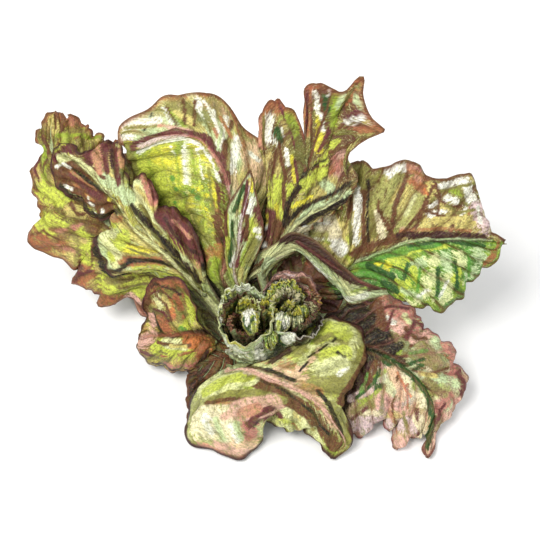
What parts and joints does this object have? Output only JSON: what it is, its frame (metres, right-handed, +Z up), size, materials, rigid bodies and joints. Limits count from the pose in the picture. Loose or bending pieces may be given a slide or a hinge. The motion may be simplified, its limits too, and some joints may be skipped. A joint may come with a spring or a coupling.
{
  "type": "red oak-leaf lettuce head",
  "caption": "Open head of red oak-leaf lettuce: ruffled, lobed olive and red-brown leaves round a tight curled heart on a short cut stem.",
  "frame": {"origin": "centre of the stem's flat cut base, on the surface that the head stands on", "axes": "+Z up; +X to the right and +Y to the back of the head, as seen in the picture's view"},
  "size_m": [0.283, 0.1892, 0.1615],
  "materials": {
    "leaf_olive": "fresh leaf: olive and yellow-green, red-brown towards the edge, pale veins, satin with soft gloss on the blisters",
    "leaf_yellow_green": "fresh leaf: yellow-green with a pink-brown edge and pale pink midrib, satin",
    "leaf_pink_brown": "fresh leaf: pink-brown with dark olive veins and folds, satin",
    "leaf_pale": "fresh inner leaf: pale green with brown-red tips, satin",
    "leaf_heart_red": "small heart leaf: brown-red over green, satin",
    "stem": "cut lettuce stem: cream-green, cut face browned at the rim, dull"
  },
  "bodies": {
    "root": {"stem": "stem", "heart_left_frill_leaf": "leaf_pale", "heart_right_frill_leaf": "leaf_pale", "heart_left_outer_leaf": "leaf_pale", "heart_left_back_leaf": "leaf_heart_red", "heart_left_middle_leaf": "leaf_heart_red", "heart_left_inner_leaf": "leaf_pale", "heart_left_bud": "leaf_pale", "heart_right_outer_leaf": "leaf_pale", "heart_right_back_leaf": "leaf_heart_red", "heart_right_side_leaf": "leaf_heart_red", "heart_right_middle_leaf": "leaf_pale", "heart_right_inner_leaf": "leaf_pale", "heart_right_bud": "leaf_pale", "heart_front_cup_leaf": "leaf_pale", "top_lobed_leaf": "leaf_olive", "right_ruffled_leaf": "leaf_olive", "back_left_leaf": "leaf_yellow_green", "left_ruffled_leaf": "leaf_olive", "front_lobed_leaf": "leaf_yellow_green", "front_right_leaf": "leaf_pink_brown", "right_folded_leaf": "leaf_pale", "small_upright_leaf": "leaf_olive", "right_inner_leaf": "leaf_olive", "left_curled_leaf": "leaf_pink_brown", "left_outer_leaf": "leaf_olive", "front_under_leaf": "leaf_pink_brown", "back_middle_leaf": "leaf_olive", "back_middle_left_leaf": "leaf_olive", "back_middle_right_leaf": "leaf_olive", "back_low_leaf": "leaf_olive", "back_low_left_leaf": "leaf_olive", "back_low_right_leaf": "leaf_olive"}
  },
  "joints": []
}
